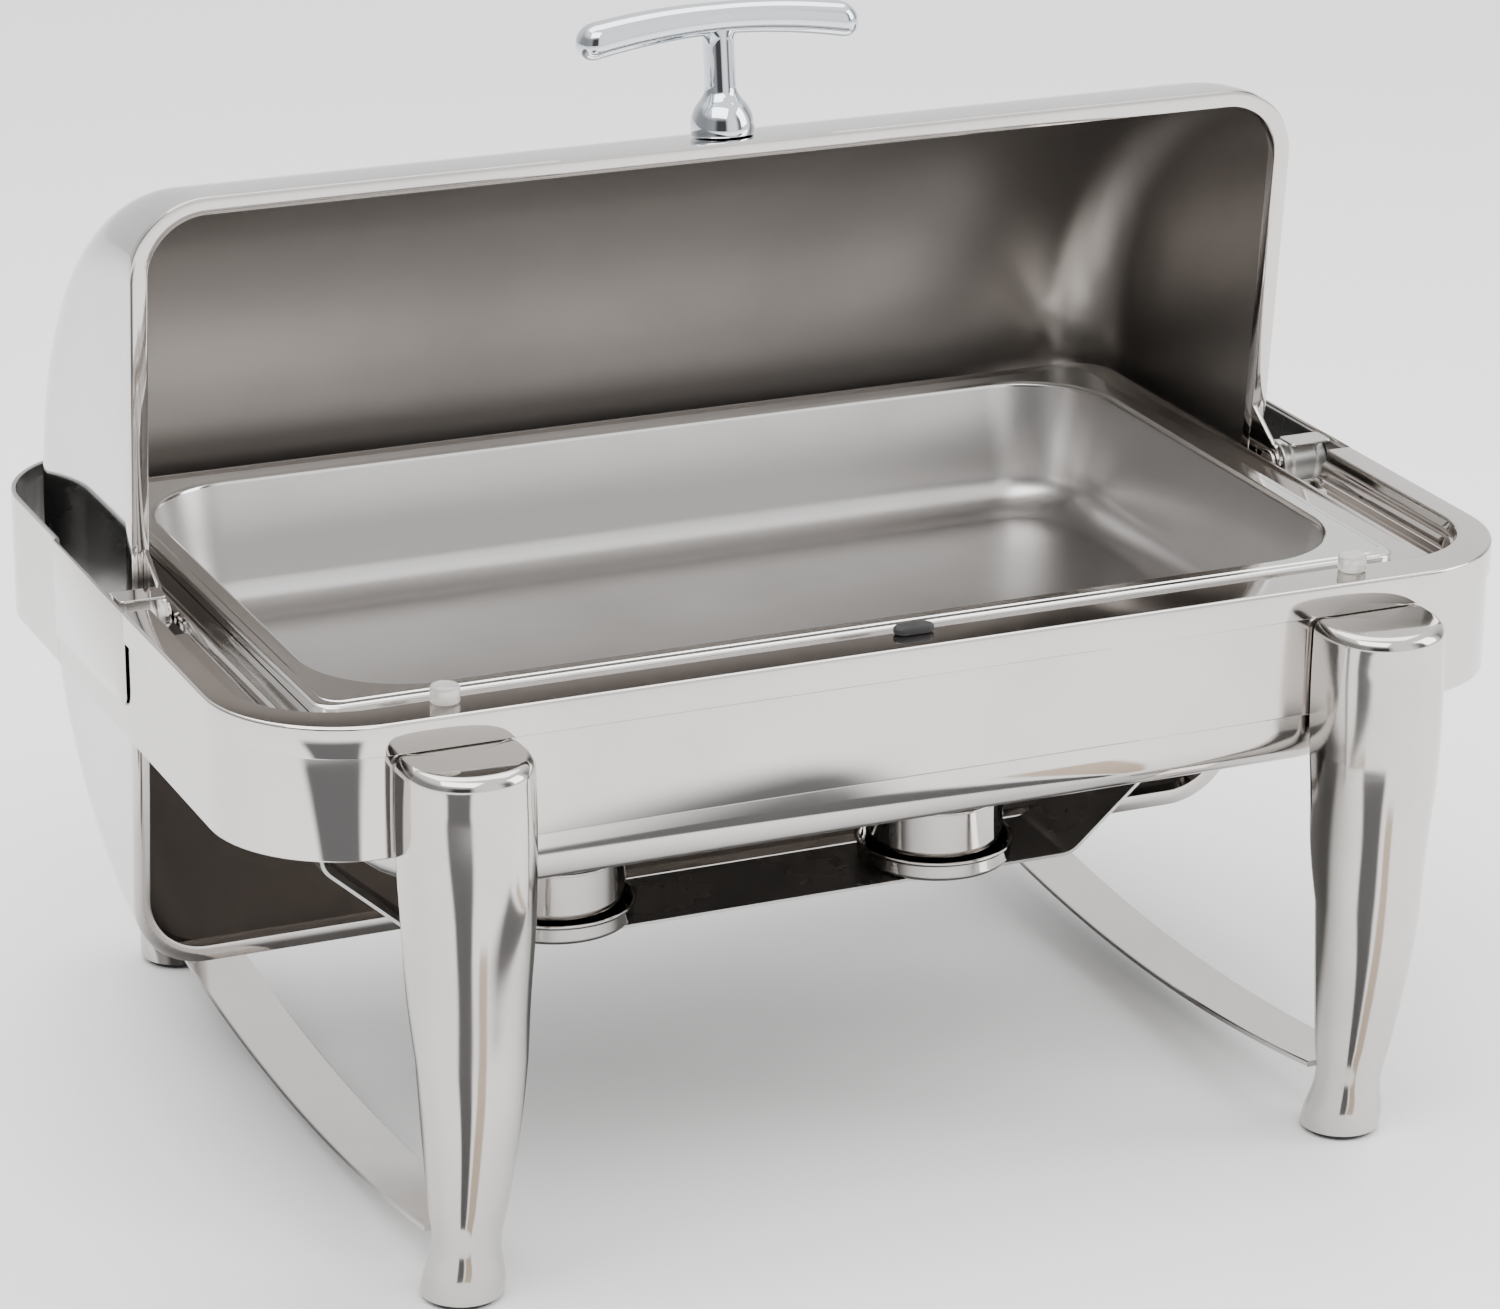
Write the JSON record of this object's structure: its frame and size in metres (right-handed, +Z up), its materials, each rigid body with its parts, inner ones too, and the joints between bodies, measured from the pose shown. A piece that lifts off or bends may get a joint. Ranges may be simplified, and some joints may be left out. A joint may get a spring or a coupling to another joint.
{
  "type": "roll-top chafing dish",
  "caption": "Full-size buffet food warmer: food pan in a water basin on sabre legs, barrel lid that rolls back, and fuel holders on a shelf below.",
  "frame": {"origin": "on the table under the middle of the object's box, feet at Z = 0", "axes": "+X along the long front to the right, +Y from the serving front to the back, +Z up"},
  "size_m": [0.6242, 0.495, 0.5079],
  "materials": {
    "mirror_steel": "mirror-polished stainless steel",
    "lid_steel": "mirror-polished outside, satin inside",
    "pan_steel": "satin stainless steel with a polished flange",
    "plain_steel": "plain stainless steel",
    "handle_chrome": "bright chrome",
    "silicone": "clear silicone",
    "black_rubber": "black rubber",
    "can_paint": "lacquered tinplate"
  },
  "bodies": {
    "stand": {"front_deck": "mirror_steel", "pan_collar": "mirror_steel", "water_basin": "mirror_steel", "apron_front": "mirror_steel", "apron_rear": "mirror_steel", "lap_plate_left": "mirror_steel", "lap_plate_right": "mirror_steel", "burner_shelf": "plain_steel", "brace_left": "mirror_steel", "brace_right": "mirror_steel", "leg_front_left": "mirror_steel", "leg_front_right": "mirror_steel", "leg_rear_left": "mirror_steel", "leg_rear_right": "mirror_steel", "foot_glide_front_left": "black_rubber", "foot_glide_front_right": "black_rubber", "foot_glide_rear_left": "black_rubber", "foot_glide_rear_right": "black_rubber", "hinge_pin_left": "mirror_steel", "hinge_pin_right": "mirror_steel", "hinge_barrel_left": "plain_steel", "hinge_barrel_right": "plain_steel", "hinge_cap_left": "mirror_steel", "hinge_cap_right": "mirror_steel", "fuel_dish_left": "mirror_steel", "fuel_dish_right": "mirror_steel", "fuel_cup_left": "mirror_steel", "fuel_cup_right": "mirror_steel", "fuel_can_left": "can_paint", "fuel_can_right": "can_paint", "cover_pin_left": "mirror_steel", "cover_pin_right": "mirror_steel", "cover_bracket_left": "mirror_steel", "cover_bracket_right": "mirror_steel", "bumper_left": "silicone", "bumper_right": "silicone", "stop_pad": "black_rubber"},
    "lid": {"lid_shell": "lid_steel", "lid_handle": "handle_chrome", "hinge_arm_left": "mirror_steel", "hinge_arm_right": "mirror_steel"},
    "food_pan": {"food_pan": "pan_steel"},
    "fuel_cover_left": {"fuel_cover_left": "mirror_steel"},
    "fuel_cover_right": {"fuel_cover_right": "mirror_steel"}
  },
  "joints": [
    {"name": "lid_roll", "type": "hinge", "parent": "stand", "child": "lid", "pos_m": [0, 0, 0.259], "axis": [1, 0, 0], "range_deg": [0, 84.6]},
    {"name": "food_pan_lift", "type": "slide", "parent": "stand", "child": "food_pan", "axis": [0, 0, 1], "range_m": [0, 0.05]},
    {"name": "fuel_cover_left_swing", "type": "hinge", "parent": "stand", "child": "fuel_cover_left", "pos_m": [-0.0995, 0.03, 0.119], "axis": [0, 0, 1], "range_deg": [0, 90]},
    {"name": "fuel_cover_right_swing", "type": "hinge", "parent": "stand", "child": "fuel_cover_right", "pos_m": [0.0995, 0.03, 0.119], "axis": [0, 0, 1], "range_deg": [0, 90]}
  ]
}
